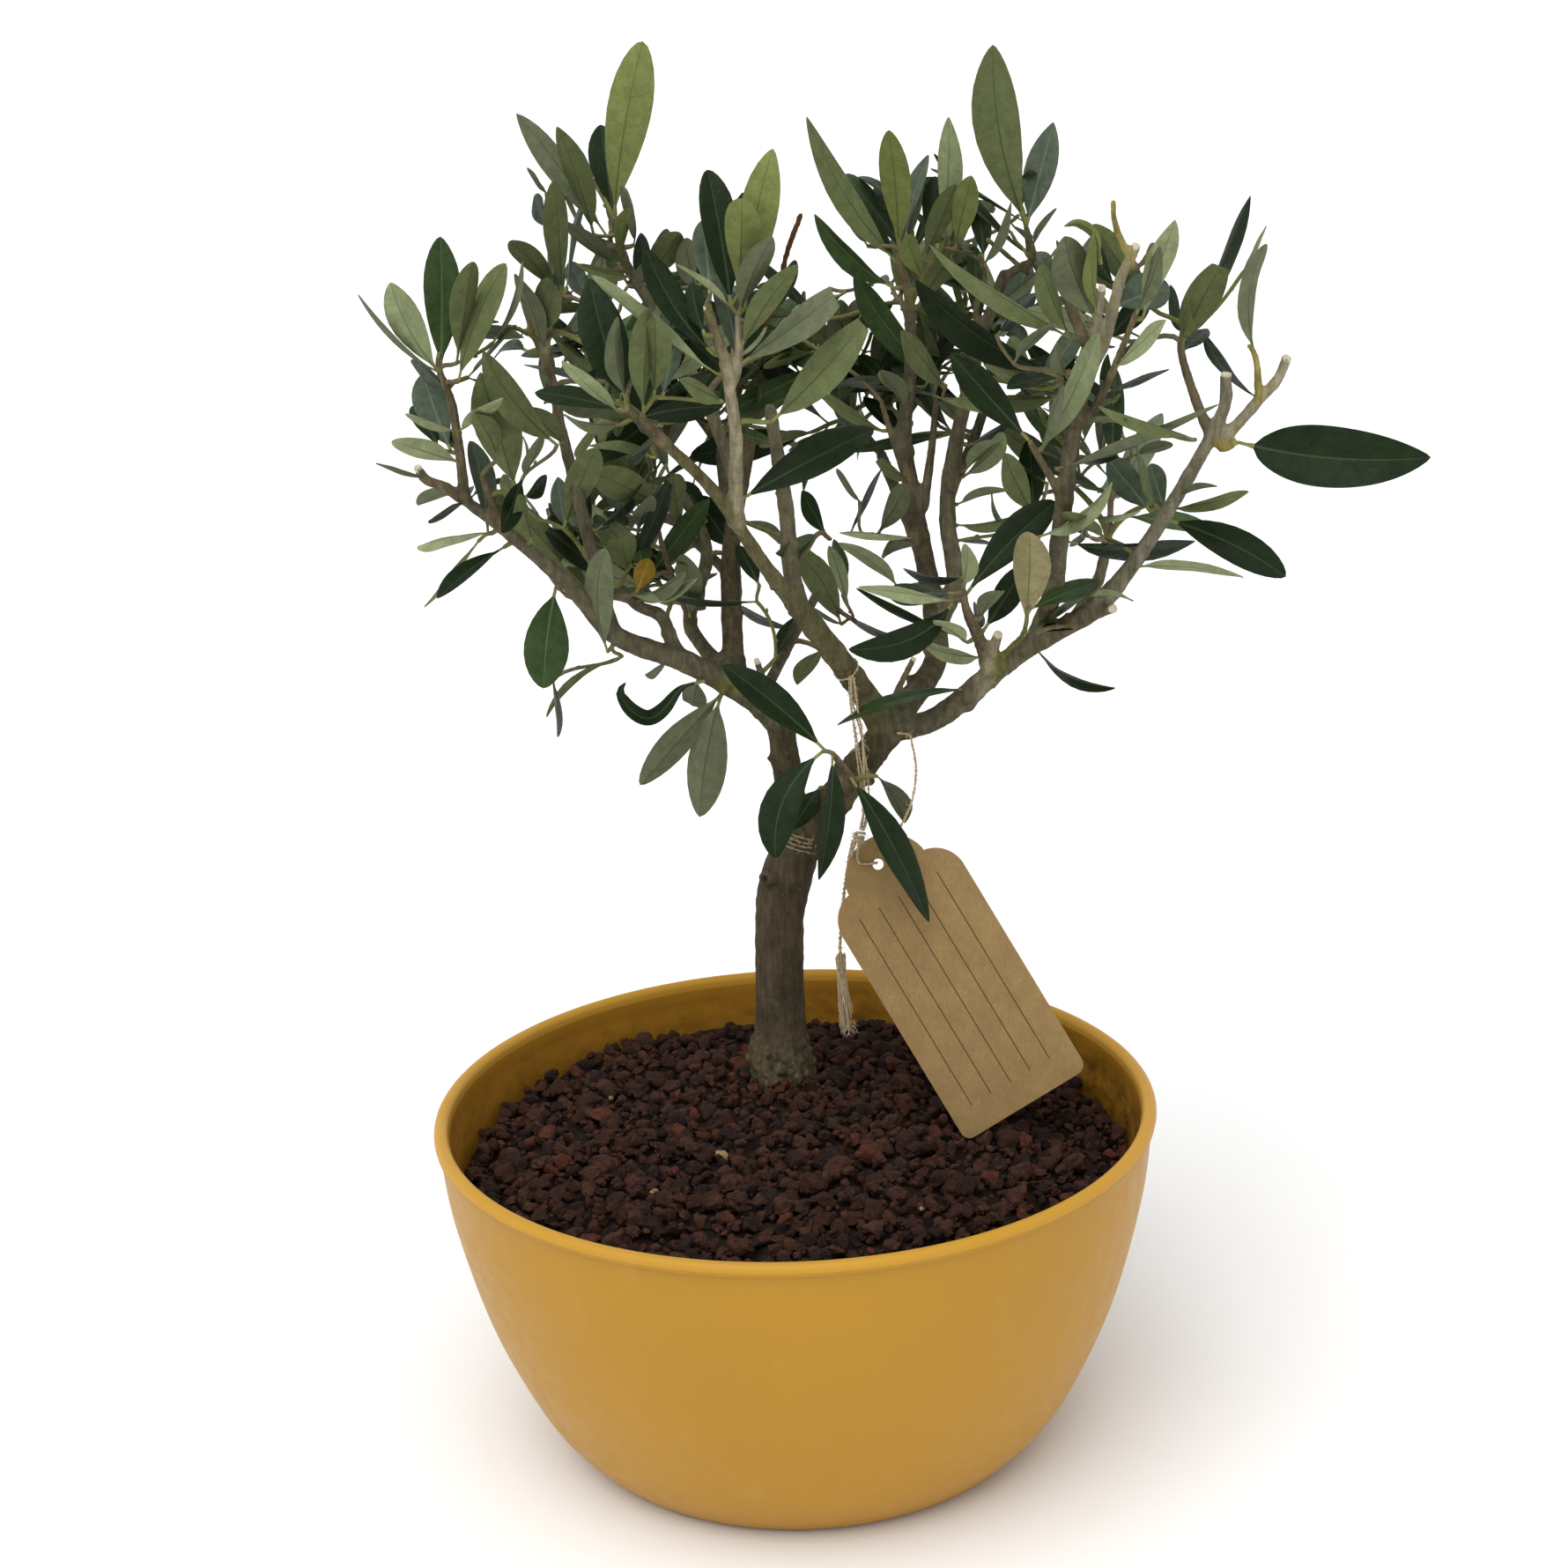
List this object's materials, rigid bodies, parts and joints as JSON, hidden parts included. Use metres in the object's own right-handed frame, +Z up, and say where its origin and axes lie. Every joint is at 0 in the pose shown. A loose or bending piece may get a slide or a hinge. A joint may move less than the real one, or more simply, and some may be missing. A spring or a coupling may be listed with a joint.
{
  "type": "olive bonsai",
  "caption": "Small olive tree with a forked trunk and open, leafy crown in a round bowl pot topped with dark grit, with a card tag hung on twine.",
  "frame": {"origin": "centre of the pot's flat underside, on the surface it stands on", "axes": "+Z up, -Y towards the side that the card tag faces, +X to the right seen from there"},
  "size_m": [0.3196, 0.2708, 0.4393],
  "materials": {
    "pot": "satin ochre yellow plastic",
    "grit": "dark red-brown lava grit",
    "bark": "grey-brown olive bark",
    "foliage": "dark green leaves with silvery undersides",
    "tag": "bare brown kraft card",
    "twine": "undyed jute"
  },
  "bodies": {
    "root": {"back_top_bough": "bark", "centre_back_bough": "bark", "centre_upright_bough": "bark", "far_left_shoot": "bark", "foliage_at_fork": "foliage", "foliage_back_centre": "foliage", "foliage_back_left": "foliage", "foliage_back_left_low": "foliage", "foliage_back_right": "foliage", "foliage_back_top": "foliage", "foliage_centre_leaf": "foliage", "foliage_centre_rear": "foliage", "foliage_far_left": "foliage", "foliage_far_right_leaf": "foliage", "foliage_far_right_top": "foliage", "foliage_front_centre": "foliage", "foliage_front_left": "foliage", "foliage_front_right": "foliage", "foliage_inner_left": "foliage", "foliage_left_droop": "foliage", "foliage_left_hanging": "foliage", "foliage_left_middle": "foliage", "foliage_low_left": "foliage", "foliage_rear_right_middle": "foliage", "foliage_right_crown": "foliage", "foliage_right_drop": "foliage", "foliage_right_middle": "foliage", "foliage_top_inner_right": "foliage", "foliage_top_left": "foliage", "foliage_top_right": "foliage", "front_bough": "bark", "front_shoot": "bark", "grit": "grit", "left_back_bough": "bark", "left_back_low_bough": "bark", "left_bough": "bark", "left_rear_bough": "bark", "left_stem": "bark", "left_upright_bough": "bark", "middle_upright_bough": "bark", "pot": "pot", "right_back_bough": "bark", "right_back_upright": "bark", "right_bough_high": "bark", "right_bough_low": "bark", "right_front_shoot": "bark", "right_rear_bough": "bark", "right_rear_top_bough": "bark", "right_rear_upright": "bark", "right_stem": "bark", "right_upright_bough": "bark", "tag": "tag", "thin_middle_bough": "bark", "top_left_bough": "bark", "trunk": "bark", "twine_loop": "twine", "twine_strands": "twine", "twine_tail": "twine"}
  },
  "joints": []
}
